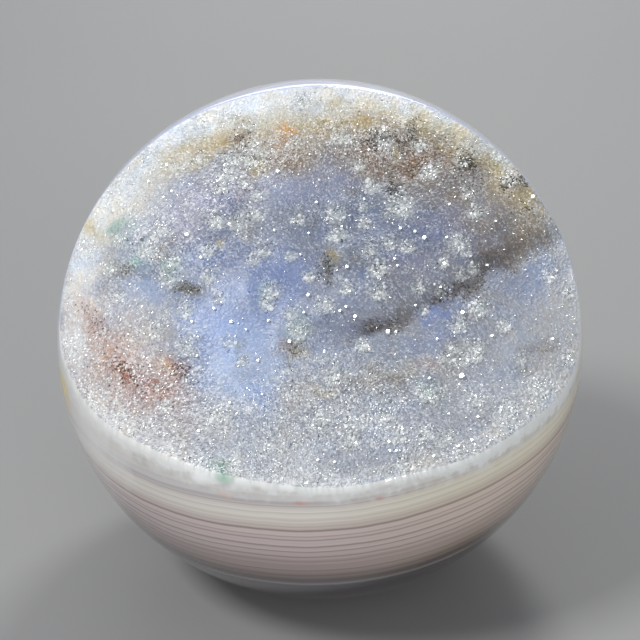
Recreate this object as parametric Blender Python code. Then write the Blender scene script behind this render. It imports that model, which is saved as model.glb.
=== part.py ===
"""Druzy agate: a ball of banded agate, ground and polished, with one side left as its
natural druse, a broad gently curved face grown over with pointed quartz crystals.

The stone is one piece, so it is one object. It stands on a small ground flat, its druse
turned up and towards -Y. Metres, +Z up, origin at the middle of the ground flat.
"""

import math

import bmesh
import bpy
import numpy as np
from mathutils.geometry import delaunay_2d_cdt

# The polished ball and the flat that it stands on
BALL_RADIUS = 0.030
BALL_BREADTH = 1.012          # how much wider than high the ball is, along X
FLAT_RADIUS = 0.009
CENTRE_HEIGHT = math.sqrt(BALL_RADIUS ** 2 - FLAT_RADIUS ** 2)

# The druse: a face straight from front to back and arched from side to side
FACE_TURN = math.radians(48.7)        # from straight up towards -Y
FACE_HEIGHT = 0.0203                  # middle of the face above the ball's centre
FACE_SWELL = 0.0009                   # how much the middle stands above that
FACE_HALF_LENGTH = 0.021              # front and back ends, along the slope
FACE_END_DROP = 0.0006                # the back end lies this much lower, the front higher
FACE_ARCH = (0.29, 0.09)              # fall to the sides, at the middle and added at the back
FACE_SHOULDER = (0.12, -0.12)         # steeper fall at the very sides, in the same way
SWELL_BREADTH = 0.027                 # half the breadth that the swell reaches
WAVES = ((390, 150, 1.3), (-210, 520, 0.4))     # radians a metre across and up, and phase
WAVE_HEIGHT = 0.00012

# The brown furrow that runs in from the right edge: across and up the face
FURROW = ((0.0285, 0.0105), (0.0255, 0.0080), (0.0190, 0.0035), (0.0125, -0.0010),
          (0.0080, -0.0038), (0.0035, -0.0050), (-0.0025, -0.0078))
FURROW_DEPTH = (0.0016, 0.0009, 0.0007, 0.0006, 0.0007, 0.0006, 0.0001)
FURROW_WIDTH = 0.0013

# Rounded knots of crystals: across, up the face, radius, height
KNOT_SHARPNESS = 1.4
KNOTS = (
    (0.0023, 0.0082, 0.0019, 0.0008), (-0.0056, -0.0007, 0.0017, 0.0007),
    (-0.0020, -0.0030, 0.0015, 0.0008), (-0.0030, -0.0052, 0.0016, 0.0006),
    (-0.0001, -0.0040, 0.0012, 0.0007), (0.0061, 0.0044, 0.0017, 0.0007),
    (0.0034, 0.0037, 0.0016, 0.0008), (-0.0139, -0.0012, 0.0016, 0.0006),
    (-0.0167, 0.0025, 0.0017, 0.0006), (-0.0099, 0.0092, 0.0017, 0.0006),
    (-0.0087, 0.0112, 0.0015, 0.0007), (-0.0084, 0.0136, 0.0017, 0.0006),
    (-0.0111, 0.0065, 0.0018, 0.0006), (0.0053, -0.0007, 0.0016, 0.0007),
    (-0.0143, -0.0067, 0.0017, 0.0005), (0.0123, -0.0068, 0.0018, 0.0006),
    (0.0109, -0.0117, 0.0018, 0.0006), (0.0043, 0.0194, 0.0016, 0.0007),
    (0.0067, 0.0166, 0.0016, 0.0009), (0.0091, 0.0180, 0.0014, 0.0008),
    (0.0153, 0.0150, 0.0016, 0.0008), (0.0210, 0.0135, 0.0016, 0.0008),
    (0.0077, 0.0110, 0.0014, 0.0007), (-0.0090, 0.0172, 0.0017, 0.0008),
    (-0.0200, 0.0070, 0.0018, 0.0006), (-0.0215, -0.0080, 0.0019, 0.0006),
    (-0.0060, -0.0140, 0.0018, 0.0005), (0.0030, -0.0150, 0.0018, 0.0005),
    (0.0200, -0.0060, 0.0018, 0.0006), (0.0185, 0.0085, 0.0017, 0.0006),
)

# The crystals: six-sided points on a close-packed lattice, no two alike
CRYSTAL_PITCH = 0.00083
CRYSTAL_JITTER = 0.19                 # of the pitch
LATTICE_TURN = math.radians(13)
CRYSTAL_TALLEST = 0.00085
CRYSTAL_SHORTEST = 0.00022
SIZE_SPREAD = (1.6, 2.4)              # beta distribution: most crystals nearer the shortest
VALLEY_DEPTH = (0.00011, 0.00022)
RIM_MARGIN = 0.6                      # of the pitch, between the ground rim and the first crystals
GROUND_OFF = 0.00002                  # how far inside the ball a crystal beside the rim ends

# How finely the round surfaces are divided
RIM_POINTS = 132
FLAT_POINTS = 36
SKIN_POINTS = 1500
SKIN_MARGIN = 0.0016                  # kept clear of points beside the rim and the flat
RIM_SAMPLES = 2000
HALVINGS = 40
JOIN_DISTANCE = 1e-9                  # in ball radii

SEED = 7


def path_offset(across, up, path):
    """Distance of each point to a chain of straight lines, and how far along the chain that is,
    counted in lines."""
    nearest = np.full(across.shape, np.inf)
    along = np.zeros(across.shape)
    for index in range(len(path) - 1):
        start = np.array(path[index])
        step = np.array(path[index + 1]) - start
        part = ((across - start[0]) * step[0] + (up - start[1]) * step[1]) / (step @ step)
        part = np.clip(part, 0.0, 1.0)
        gap = np.hypot(across - start[0] - part * step[0], up - start[1] - part * step[1])
        along = np.where(gap < nearest, index + part, along)
        nearest = np.minimum(gap, nearest)
    return nearest, along


def face_height(across, up):
    """Height of the druse's ground above the ball's centre, along the face's axis: an arch with
    a swell in the middle, slow waves, the knots added and the furrow taken off."""
    x = across / BALL_RADIUS
    slope = np.clip(up / FACE_HALF_LENGTH, -1.0, 1.0)
    arch = (FACE_ARCH[0] + FACE_ARCH[1] * slope) * x ** 2
    shoulder = (FACE_SHOULDER[0] + FACE_SHOULDER[1] * slope) * x ** 4
    height = FACE_HEIGHT - FACE_END_DROP * slope - BALL_RADIUS * (arch + shoulder)
    away = (across / SWELL_BREADTH) ** 2 + (up / FACE_HALF_LENGTH) ** 2
    height = height + FACE_SWELL * np.clip(1.0 - away, 0.0, None)
    for wave_across, wave_up, phase in WAVES:
        height = height + WAVE_HEIGHT * np.sin(across * wave_across + up * wave_up + phase)
    for knot_across, knot_up, radius, rise in KNOTS:
        gap = ((across - knot_across) ** 2 + (up - knot_up) ** 2) / radius ** 2
        height = height + rise * np.exp(-KNOT_SHARPNESS * gap)
    gap, along = path_offset(across, up, FURROW)
    depth = np.interp(along, np.arange(len(FURROW_DEPTH)), FURROW_DEPTH)
    return height - depth * np.exp(-(gap / FURROW_WIDTH) ** 2)


def rim_distance(bearing):
    """How far out from the face's middle its ground meets the ball, found by halving."""
    low = np.zeros(bearing.shape)
    high = np.full(bearing.shape, BALL_RADIUS)
    for _ in range(HALVINGS):
        middle = (low + high) / 2
        height = face_height(middle * np.cos(bearing), middle * np.sin(bearing))
        outside = middle ** 2 + np.maximum(height, 0.0) ** 2 > BALL_RADIUS ** 2
        high = np.where(outside, middle, high)
        low = np.where(outside, low, middle)
    return (low + high) / 2


def on_face(across, up, height):
    """Points of the face as places in the world: the face's axis leans from +Z towards -Y."""
    y = up * math.cos(FACE_TURN) - height * math.sin(FACE_TURN)
    z = up * math.sin(FACE_TURN) + height * math.cos(FACE_TURN)
    return np.stack([across, y, z], axis=-1)


def from_world(points):
    """Across, up and height on the face of points given from the ball's centre."""
    up = points[:, 1] * math.cos(FACE_TURN) + points[:, 2] * math.sin(FACE_TURN)
    height = -points[:, 1] * math.sin(FACE_TURN) + points[:, 2] * math.cos(FACE_TURN)
    return points[:, 0], up, height


def triangles(flat_points, loops):
    """Delaunay triangles of points in a plane, inside the first of the closed loops of edges."""
    edges = []
    for loop in loops:
        edges += [(loop[i], loop[(i + 1) % len(loop)]) for i in range(len(loop))]
    places = [tuple(point) for point in flat_points]
    found = delaunay_2d_cdt(places, edges, [list(loops[0])], 1, JOIN_DISTANCE)
    source = [origin[0] for origin in found[3]]
    return [[source[corner] for corner in face] for face in found[2]]


def rim_ring():
    """The druse's edge on the ball, in even steps along its length."""
    fine = np.linspace(0.0, 2 * math.pi, RIM_SAMPLES + 1)
    out = rim_distance(fine)
    across, up = out * np.cos(fine), out * np.sin(fine)
    height = np.sqrt(BALL_RADIUS ** 2 - out ** 2)
    line = on_face(across, up, height)
    length = np.concatenate([[0.0], np.cumsum(np.linalg.norm(np.diff(line, axis=0), axis=1))])
    steps = np.linspace(0.0, length[-1], RIM_POINTS, endpoint=False)
    bearing = np.interp(steps, length, fine)
    out = rim_distance(bearing)
    return bearing, out


def crystal_points(random):
    """The druse's inner points across, up and high: one lattice point in three is the tip of a
    crystal, and the six around it lie in the valleys between."""
    reach = int(2 * BALL_RADIUS / CRYSTAL_PITCH)
    column, row = np.meshgrid(np.arange(-reach, reach), np.arange(-reach, reach))
    column, row = column.ravel(), row.ravel()
    along = (column + row / 2) * CRYSTAL_PITCH
    aside = row * CRYSTAL_PITCH * math.sqrt(3) / 2
    jitter = CRYSTAL_JITTER * CRYSTAL_PITCH * random.standard_normal((2, len(row)))
    across = along * math.cos(LATTICE_TURN) - aside * math.sin(LATTICE_TURN) + jitter[0]
    up = along * math.sin(LATTICE_TURN) + aside * math.cos(LATTICE_TURN) + jitter[1]
    tip = (column - row) % 3 == 0
    limit = rim_distance(np.arctan2(up, across)) - RIM_MARGIN * CRYSTAL_PITCH
    inside = np.hypot(across, up) < limit
    across, up, tip = across[inside], up[inside], tip[inside]
    size = random.beta(*SIZE_SPREAD, len(across))
    rise = CRYSTAL_SHORTEST + (CRYSTAL_TALLEST - CRYSTAL_SHORTEST) * size
    sink = random.uniform(*VALLEY_DEPTH, len(across))
    height = face_height(across, up) + np.where(tip, rise, -sink)
    # No tip stands out of the ball: those beside the rim are ground off with it.
    room = np.sqrt(np.clip(BALL_RADIUS ** 2 - across ** 2 - up ** 2, 0.0, None))
    return across, up, np.minimum(height, room - GROUND_OFF)


def skin_points():
    """Even points of the polished ball outside the druse and the flat, on a golden spiral."""
    count = np.arange(SKIN_POINTS)
    z = 1 - (2 * count + 1) / SKIN_POINTS
    turn = count * math.pi * (3 - math.sqrt(5))
    ring = np.sqrt(1 - z ** 2)
    points = BALL_RADIUS * np.stack([ring * np.cos(turn), ring * np.sin(turn), z], axis=-1)
    across, up, height = from_world(points)
    bearing = np.arctan2(up, across)
    edge = rim_distance(bearing)
    edge_angle = np.arctan2(edge, np.sqrt(BALL_RADIUS ** 2 - edge ** 2))
    angle = np.arccos(height / BALL_RADIUS)
    off_druse = (angle - edge_angle) * BALL_RADIUS > SKIN_MARGIN
    flat_angle = math.asin(FLAT_RADIUS / BALL_RADIUS) + SKIN_MARGIN / BALL_RADIUS
    off_flat = np.arccos(-points[:, 2] / BALL_RADIUS) > flat_angle
    return points[off_druse & off_flat]


def unrolled(points):
    """The ball laid out flat by stereographic projection from the middle of the druse, so the
    druse's edge becomes the outer line and the back of the ball the middle."""
    across, up, height = from_world(points / np.linalg.norm(points, axis=1)[:, None])
    return np.stack([across, -up], axis=-1) / (1 - height)[:, None]


def make_stone():
    """The whole stone as one closed mesh: crystals, polished skin and ground flat."""
    random = np.random.default_rng(SEED)
    bearing, out = rim_ring()
    rim_face = np.stack([out * np.cos(bearing), out * np.sin(bearing)], axis=-1)
    rim = on_face(rim_face[:, 0], rim_face[:, 1], np.sqrt(BALL_RADIUS ** 2 - out ** 2))
    across, up, height = crystal_points(random)
    crystals = on_face(across, up, height)
    turn = np.arange(FLAT_POINTS) * 2 * math.pi / FLAT_POINTS
    level = np.full(FLAT_POINTS, -CENTRE_HEIGHT)
    foot = np.stack([FLAT_RADIUS * np.cos(turn), FLAT_RADIUS * np.sin(turn), level], axis=-1)
    skin = skin_points()

    mesh = bmesh.new()
    rim_verts = [mesh.verts.new(p) for p in rim]
    crystal_verts = [mesh.verts.new(p) for p in crystals]
    foot_verts = [mesh.verts.new(p) for p in foot]
    skin_verts = [mesh.verts.new(p) for p in skin]

    # Crystals, laid out as seen along the face's axis
    rim_loop = list(range(RIM_POINTS))
    face_plan = np.concatenate([rim_face, np.stack([across, up], axis=-1)]) / BALL_RADIUS
    verts = rim_verts + crystal_verts
    for corners in triangles(face_plan, [rim_loop]):
        mesh.faces.new([verts[c] for c in corners]).material_index = 1

    # Polished skin round the back, with the flat's own triangles joined into one level face
    foot_loop = list(range(RIM_POINTS, RIM_POINTS + FLAT_POINTS))
    verts = rim_verts + foot_verts + skin_verts
    level_faces = []
    for corners in triangles(unrolled(np.concatenate([rim, foot, skin])), [rim_loop, foot_loop]):
        face = mesh.faces.new([verts[c] for c in corners])
        face.smooth = True
        if all(RIM_POINTS <= c < RIM_POINTS + FLAT_POINTS for c in corners):
            level_faces.append(face)
    joined = bmesh.ops.dissolve_faces(mesh, faces=level_faces)
    for face in joined["region"]:
        face.smooth = False

    bmesh.ops.recalc_face_normals(mesh, faces=mesh.faces)
    bmesh.ops.scale(mesh, vec=(BALL_BREADTH, 1, 1), verts=mesh.verts)
    bmesh.ops.translate(mesh, vec=(0, 0, CENTRE_HEIGHT), verts=mesh.verts)
    return mesh


def make_material(name, colour, roughness):
    """A stone's surface: its colour and how much it scatters a reflection."""
    material = bpy.data.materials.new(name)
    material.use_nodes = True
    shader = material.node_tree.nodes["Principled BSDF"]
    shader.inputs["Base Color"].default_value = (*colour, 1.0)
    shader.inputs["Roughness"].default_value = roughness
    shader.inputs["Metallic"].default_value = 0.0
    return material


def make_agate():
    """The stone as an object, polished where it is ball and sparkling where it is druse."""
    stone = make_stone()
    mesh = bpy.data.meshes.new("druzy_agate")
    stone.to_mesh(mesh)
    stone.free()
    mesh.materials.append(make_material("polished_agate", (0.50, 0.45, 0.50), 0.08))
    mesh.materials.append(make_material("quartz_druse", (0.52, 0.54, 0.66), 0.30))
    agate = bpy.data.objects.new("druzy_agate", mesh)
    bpy.context.scene.collection.objects.link(agate)


for leftover in list(bpy.data.objects):
    bpy.data.objects.remove(leftover, do_unlink=True)
make_agate()
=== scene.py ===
"""Druzy agate: the finish of a polished agate ball whose druse is turned to the viewer.

The stone itself first, its polished skin and its crust of crystals in one closed mesh, then the
larger crystals that stand on the crust, then the table, the lights and the camera.
"""
import math

import bpy
import numpy as np
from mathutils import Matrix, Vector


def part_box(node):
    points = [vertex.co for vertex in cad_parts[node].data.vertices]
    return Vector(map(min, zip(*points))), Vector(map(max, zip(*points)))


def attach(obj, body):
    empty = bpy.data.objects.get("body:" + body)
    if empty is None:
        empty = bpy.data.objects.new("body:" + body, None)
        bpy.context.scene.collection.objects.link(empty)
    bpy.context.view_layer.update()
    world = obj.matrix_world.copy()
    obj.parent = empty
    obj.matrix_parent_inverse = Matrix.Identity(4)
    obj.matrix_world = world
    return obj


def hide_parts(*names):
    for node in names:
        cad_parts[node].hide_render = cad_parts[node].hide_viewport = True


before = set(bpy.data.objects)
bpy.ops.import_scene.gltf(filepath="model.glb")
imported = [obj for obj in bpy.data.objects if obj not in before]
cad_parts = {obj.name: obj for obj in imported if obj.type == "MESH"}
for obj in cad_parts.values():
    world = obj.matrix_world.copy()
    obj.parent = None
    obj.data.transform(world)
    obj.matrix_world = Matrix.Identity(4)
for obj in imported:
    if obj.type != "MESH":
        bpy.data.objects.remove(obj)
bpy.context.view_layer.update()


# THE STONE'S FORM
# A ball ground from a banded agate nodule. One side is left as it grew: the wall of the nodule's
# hollow, nearly straight from front to back and arched from side to side. The rest is polished.
FLAT_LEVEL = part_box("druzy_agate")[0][2]
BREADTH = 1.012                         # the ball is this much wider than high
BALL = 0.030                            # radii of the ball and of the flat it stands on
FLAT = 0.009
CENTRE = math.sqrt(BALL ** 2 - FLAT ** 2)
LEAN = math.radians(48.7)               # how far the druse is turned from straight up

FACE_HEIGHT = 0.0203                    # the druse's ground over the ball's centre
FACE_SWELL = 0.0009
SWELL_BREADTH = 0.027
HALF_LENGTH = 0.021
END_DROP = 0.0006
# How much the arch falls to the sides, with the square and the fourth power of the way out: in
# the middle, and what is added at the upper end
ARCH = (0.29, 0.09)
SHOULDER = (0.12, -0.12)
# Slow waves: how fast they run across and up, and where they start
WAVES = ((390, 150, 1.3), (-210, 520, 0.4))
WAVE_HEIGHT = 0.00012
# The furrow's path, across and up the face, and its depth at each point, in millimetres
FURROW = ((28.5, 10.5), (25.5, 8.0), (19.0, 3.5), (12.5, -1.0), (8.0, -3.8), (3.5, -5.0), (-2.5, -7.8))
FURROW_DEPTH = (1.6, 0.9, 0.7, 0.6, 0.7, 0.6, 0.1)
FURROW_WIDTH = 0.0013
# Rounded knots of crystals, in millimetres: across, up the face, radius, height
KNOTS = (
    (2.3, 8.2, 1.9, 0.8), (-5.6, -0.7, 1.7, 0.7), (-2.0, -3.0, 1.5, 0.8), (-3.0, -5.2, 1.6, 0.6),
    (-0.1, -4.0, 1.2, 0.7), (6.1, 4.4, 1.7, 0.7), (3.4, 3.7, 1.6, 0.8), (-13.9, -1.2, 1.6, 0.6),
    (-16.7, 2.5, 1.7, 0.6), (-9.9, 9.2, 1.7, 0.6), (-8.7, 11.2, 1.5, 0.7), (-8.4, 13.6, 1.7, 0.6),
    (-11.1, 6.5, 1.8, 0.6), (5.3, -0.7, 1.6, 0.7), (-14.3, -6.7, 1.7, 0.5), (12.3, -6.8, 1.8, 0.6),
    (10.9, -11.7, 1.8, 0.6), (4.3, 19.4, 1.6, 0.7), (6.7, 16.6, 1.6, 0.9), (9.1, 18.0, 1.4, 0.8),
    (15.3, 15.0, 1.6, 0.8), (21.0, 13.5, 1.6, 0.8), (7.7, 11.0, 1.4, 0.7), (-9.0, 17.2, 1.7, 0.8),
    (-20.0, 7.0, 1.8, 0.6), (-21.5, -8.0, 1.9, 0.6), (-6.0, -14.0, 1.8, 0.5), (3.0, -15.0, 1.8, 0.5),
    (20.0, -6.0, 1.8, 0.6), (18.5, 8.5, 1.7, 0.6),
)
KNOT_SHARPNESS = 1.4
NOISE_NET = 64
NOISE_SHIFT = (31.7, 29.3)


def path_offset(across, up, path):
    """Distance of points to a chain of straight lines, and how far along it that is, in lines."""
    nearest = np.full(across.shape, np.inf)
    along = np.zeros(across.shape)
    for index in range(len(path) - 1):
        start = np.array(path[index])
        step = np.array(path[index + 1]) - start
        part = np.clip(((across - start[0]) * step[0] + (up - start[1]) * step[1]) / (step @ step), 0, 1)
        gap = np.hypot(across - start[0] - part * step[0], up - start[1] - part * step[1])
        along = np.where(gap < nearest, index + part, along)
        nearest = np.minimum(gap, nearest)
    return nearest, along


def furrow(across, up):
    """Depth of the furrow: its depth along its path, falling off as a bell curve to the sides."""
    gap, along = path_offset(across, up, np.array(FURROW) / 1000)
    depth = np.interp(along, np.arange(len(FURROW_DEPTH)), np.array(FURROW_DEPTH) / 1000)
    return depth * np.exp(-(gap / FURROW_WIDTH) ** 2)


def face_height(across, up):
    """Height of the druse's ground over the ball's centre: an arch, plus a swell, slow waves and
    bell-shaped knots, less the furrow."""
    x = across / BALL
    slope = np.clip(up / HALF_LENGTH, -1.0, 1.0)
    fall = (ARCH[0] + ARCH[1] * slope) * x ** 2 + (SHOULDER[0] + SHOULDER[1] * slope) * x ** 4
    height = FACE_HEIGHT - END_DROP * slope - BALL * fall
    away = (across / SWELL_BREADTH) ** 2 + (up / HALF_LENGTH) ** 2
    height = height + FACE_SWELL * np.clip(1.0 - away, 0.0, None)
    for wave_across, wave_up, phase in WAVES:
        height = height + WAVE_HEIGHT * np.sin(across * wave_across + up * wave_up + phase)
    for knot_across, knot_up, radius, rise in KNOTS:
        gap = ((across * 1000 - knot_across) ** 2 + (up * 1000 - knot_up) ** 2) / radius ** 2
        height = height + rise / 1000 * np.exp(-KNOT_SHARPNESS * gap)
    return height - furrow(across, up)


def rim_distance(bearing, halvings=40):
    """How far out from the face's middle its ground meets the ball, found by halving."""
    low = np.zeros(bearing.shape)
    high = np.full(bearing.shape, BALL)
    for _ in range(halvings):
        middle = (low + high) / 2
        height = face_height(middle * np.cos(bearing), middle * np.sin(bearing))
        outside = middle ** 2 + np.maximum(height, 0.0) ** 2 > BALL ** 2
        high = np.where(outside, middle, high)
        low = np.where(outside, low, middle)
    return (low + high) / 2


def to_world(across, up, height):
    """Places on the stone from the face's own axes, which lean from +Z towards -Y."""
    y = up * math.cos(LEAN) - height * math.sin(LEAN)
    z = up * math.sin(LEAN) + height * math.cos(LEAN) + CENTRE
    return np.stack([across * BREADTH, y, z], axis=-1)


def to_face(ways):
    """Directions in the world turned to the face's own axes: across it, up it and out of it."""
    up = ways[:, 1] * math.cos(LEAN) + ways[:, 2] * math.sin(LEAN)
    out = -ways[:, 1] * math.sin(LEAN) + ways[:, 2] * math.cos(LEAN)
    return np.stack([ways[:, 0], up, out], axis=-1)


def smooth_noise(across, up, size, seed):
    """Soft random relief from -1 to 1: random values on a square net of that size, in metres,
    joined by smooth steps."""
    net = np.random.default_rng(seed).uniform(-1, 1, (NOISE_NET, NOISE_NET))
    a = across / size + NOISE_SHIFT[0]
    b = up / size + NOISE_SHIFT[1]
    i = np.floor(a).astype(int)
    j = np.floor(b).astype(int)
    u = (a - i) ** 2 * (3 - 2 * (a - i))
    v = (b - j) ** 2 * (3 - 2 * (b - j))
    i, next_i = i % NOISE_NET, (i + 1) % NOISE_NET
    j, next_j = j % NOISE_NET, (j + 1) % NOISE_NET
    low = net[i, j] * (1 - u) + net[next_i, j] * u
    high = net[i, next_j] * (1 - u) + net[next_i, next_j] * u
    return low * (1 - v) + high * v


# THE STONE'S COLOURS
# Clear blue-grey chalcedony shows through the druse in the middle. Iron has stained it ochre along
# the back and rust-red on the left. The furrow's brown is partly stain and partly painted shade, and
# the outer margin is white, partly frosted crystals and partly a painted sheen.
EYE_DISTANCE = 5.5                      # from the ball's centre, in ball radii
EYE_TILT = math.radians(25)             # how far the photo looks down
EYE = np.array((0.0, -EYE_DISTANCE * BALL * math.cos(EYE_TILT),
                CENTRE + EYE_DISTANCE * BALL * math.sin(EYE_TILT)))
PHOTO_PIXELS = 640
BALL_PIXELS = 260.0                     # the ball's radius and centre in the photo
MIDDLE_PIXEL = (319.5, 338.0)
FOCAL_PIXELS = BALL_PIXELS * math.sqrt(EYE_DISTANCE ** 2 - 1)


def seen_at(points):
    """Where points of the stone appear in the photo: their places across and up, divided by their
    distance from the eye."""
    x = points[:, 0] / BALL
    y = points[:, 1] / BALL
    z = (points[:, 2] - CENTRE) / BALL
    up = y * math.sin(EYE_TILT) + z * math.cos(EYE_TILT)
    near = EYE_DISTANCE + y * math.cos(EYE_TILT) - z * math.sin(EYE_TILT)
    return MIDDLE_PIXEL[0] + FOCAL_PIXELS * x / near, MIDDLE_PIXEL[1] - FOCAL_PIXELS * up / near


def seen_on_druse(across, up):
    """Where places on the druse's ground appear in the photo."""
    return seen_at(to_world(across, up, face_height(across, up)))


def share_of_rim(across, up):
    """How far out places on the druse are, as a share of the way to its edge."""
    return np.hypot(across, up) / rim_distance(np.arctan2(up, across))


def linear(red, green, blue):
    """A colour as screens show it, in 0 to 255, as the light it stands for."""
    value = np.array([red, green, blue]) / 255
    return np.where(value <= 0.04045, value / 12.92, ((value + 0.055) / 1.055) ** 2.4)


SLATE_GREY = linear(145, 152, 169)
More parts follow.
